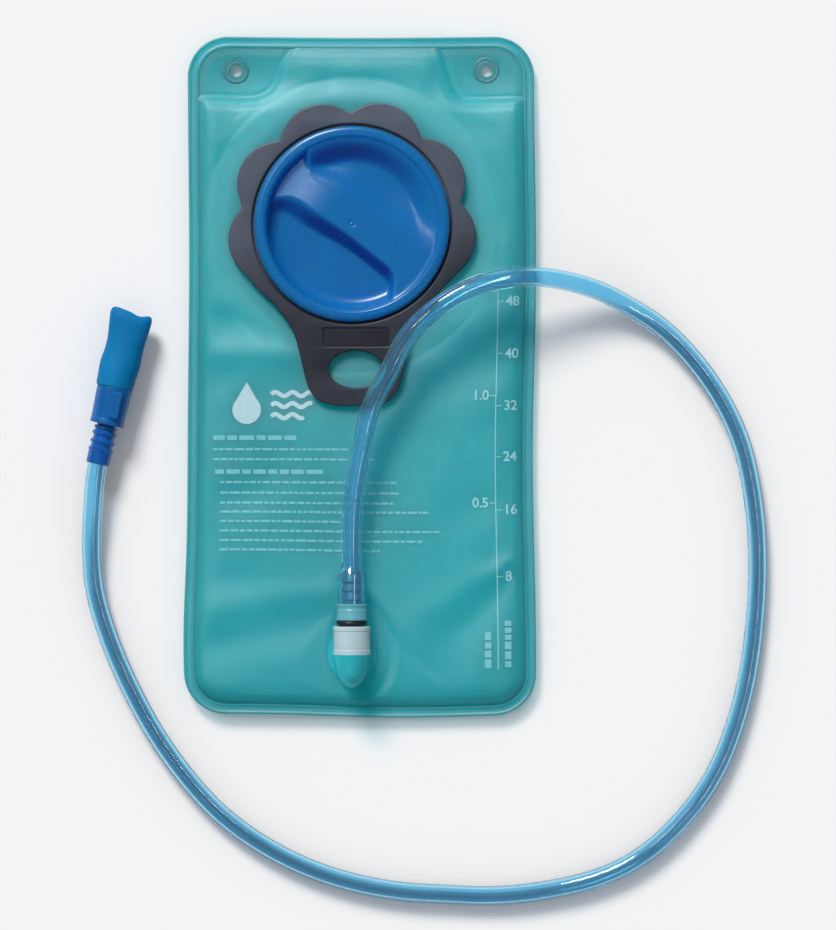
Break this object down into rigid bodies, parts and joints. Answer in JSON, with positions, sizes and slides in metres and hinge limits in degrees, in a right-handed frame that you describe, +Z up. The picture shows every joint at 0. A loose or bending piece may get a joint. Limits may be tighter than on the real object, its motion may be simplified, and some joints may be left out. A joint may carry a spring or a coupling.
{
  "type": "hydration bladder",
  "caption": "Flat welded-film drinking-water bladder with a wide screw cap, a scalloped carrying collar, a quick-release outlet, and a long flexible tube ending in a push-pull bite valve.",
  "frame": {"origin": "centre of the back film's flat face, which rests on the table", "axes": "+Z up out of the front film, towards the filler cap; +Y along the bag, towards the cap and the hanging holes; +X to the right seen from the front"},
  "size_m": [0.3354, 0.425, 0.0381],
  "materials": {
    "bag_film": "translucent teal TPU film, satin",
    "clear_rings": "translucent welded film ring",
    "port_plastic": "translucent teal moulded port",
    "cap_blue": "satin-gloss blue moulding",
    "silicone_clear": "milky silicone seal",
    "collar_black": "fine-textured black moulding",
    "outlet_teal": "translucent teal weld base",
    "socket_white": "milky white moulding",
    "plug_frosted": "frosted clear moulding",
    "black_rubber": "black nitrile",
    "poppet_white": "white acetal",
    "spring_steel": "stainless wire",
    "tube_blue": "clear blue-tinted PVC-free tube",
    "boot_blue": "dark blue flexible boot",
    "stem_blue": "blue moulding",
    "valve_blue": "blue moulding",
    "bite_silicone": "teal-blue silicone"
  },
  "bodies": {
    "bag": {"back_panel": "bag_film", "front_panel": "bag_film", "hang_rings": "clear_rings", "port_neck": "port_plastic", "handle_collar": "collar_black", "outlet_base": "outlet_teal", "outlet_socket": "socket_white", "poppet_spring": "spring_steel"},
    "gasket": {"cap_gasket": "silicone_clear"},
    "cap": {"screw_cap": "cap_blue"},
    "poppet": {"poppet": "poppet_white", "poppet_seal": "black_rubber"},
    "hose": {"hose_plug": "plug_frosted", "outlet_oring": "black_rubber", "drinking_tube": "tube_blue", "strain_relief": "boot_blue", "valve_stem": "stem_blue"},
    "valve_swivel": {"stem_oring": "black_rubber"},
    "mouthpiece": {"valve_housing": "valve_blue", "bite_sheath": "bite_silicone"}
  },
  "joints": [
    {"name": "cap_lift", "type": "slide", "parent": "bag", "child": "gasket", "axis": [0, 0, 1], "range_m": [0, 0.008]},
    {"name": "cap_turn", "type": "hinge", "parent": "gasket", "child": "cap", "pos_m": [-0.0045, 0.0741, 0.014], "axis": [0, 0, 1], "range_deg": [0, 359.9]},
    {"name": "hose_plug_pull", "type": "slide", "parent": "bag", "child": "hose", "axis": [0, 1, 0], "range_m": [0, 0.015]},
    {"name": "poppet_slide", "type": "slide", "parent": "bag", "child": "poppet", "axis": [0, 1, 0], "range_m": [0, 0.003]},
    {"name": "mouthpiece_swivel", "type": "hinge", "parent": "hose", "child": "valve_swivel", "pos_m": [-0.12221, -0.01443, 0.0106], "axis": [0.2224, 0.975, 0], "continuous": true},
    {"name": "mouthpiece_pull", "type": "slide", "parent": "valve_swivel", "child": "mouthpiece", "axis": [0.2224, 0.975, 0], "range_m": [0, 0.004]}
  ],
  "couplings": [
    {"joint": "cap_lift", "follows": "cap_turn", "m_per_rad": 0.0012732},
    {"joint": "poppet_slide", "follows": "hose_plug_pull", "ratio": 0.2}
  ]
}
